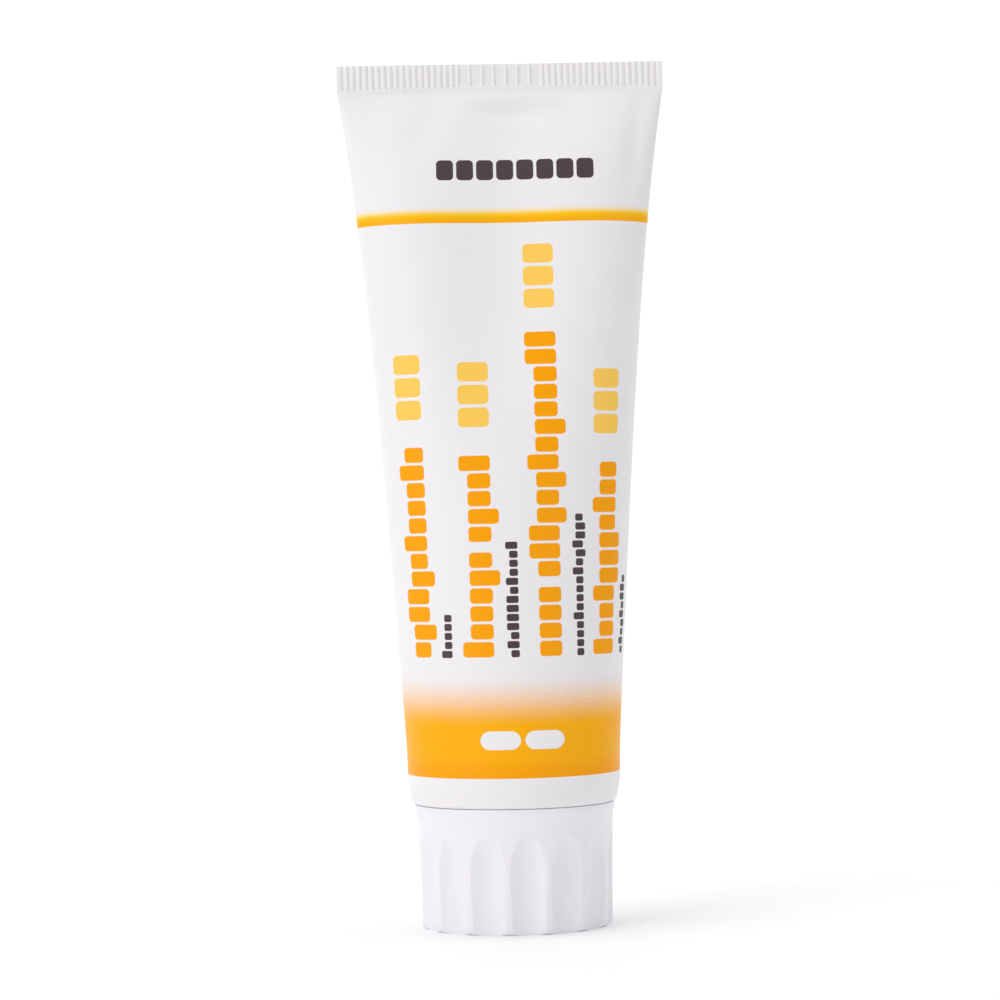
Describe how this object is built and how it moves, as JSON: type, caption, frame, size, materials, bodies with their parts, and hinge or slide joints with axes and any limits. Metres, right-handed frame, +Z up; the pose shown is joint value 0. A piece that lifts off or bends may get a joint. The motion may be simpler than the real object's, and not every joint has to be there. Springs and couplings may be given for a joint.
{
  "type": "squeeze tube of dental prophylaxis paste",
  "caption": "Laminate squeeze tube with a flat crimped tail, standing on its fluted screw cap, for dispensing dental polishing paste.",
  "frame": {"origin": "centre of the cap's closed end, on the plane the tube stands on", "axes": "+Z up the tube's axis towards the tail, X along the flat tail seal, the printed front faces -Y"},
  "size_m": [0.0494, 0.032, 0.13],
  "materials": {
    "cap_plastic": "semi-gloss moulded white polypropylene",
    "liner_foam": "matte expanded polyethylene foam",
    "seal_foil": "bright rolled aluminium foil",
    "head_plastic": "satin moulded white polyethylene",
    "barrier_laminate": "satin foil laminate disc",
    "printed_laminate": "semi-gloss white laminate with printed orange bands",
    "paste": "wet, finely gritty paste"
  },
  "bodies": {
    "cap": {"screw_cap": "cap_plastic"},
    "liner": {"cap_liner": "liner_foam"},
    "tube": {"tube_head": "head_plastic", "tube_sleeve": "printed_laminate", "shoulder_barrier": "barrier_laminate", "mouth_seal": "seal_foil", "paste_fill": "paste"}
  },
  "joints": [
    {"name": "tube_turn", "type": "hinge", "parent": "cap", "child": "liner", "pos_m": [0, 0, 0.0019], "axis": [0, 0, 1], "range_deg": [0, 720]},
    {"name": "tube_lift", "type": "slide", "parent": "liner", "child": "tube", "axis": [0, 0, 1], "range_m": [0, 0.006]}
  ],
  "couplings": [
    {"joint": "tube_turn", "follows": "tube_lift", "rad_per_m": 2094.4}
  ]
}
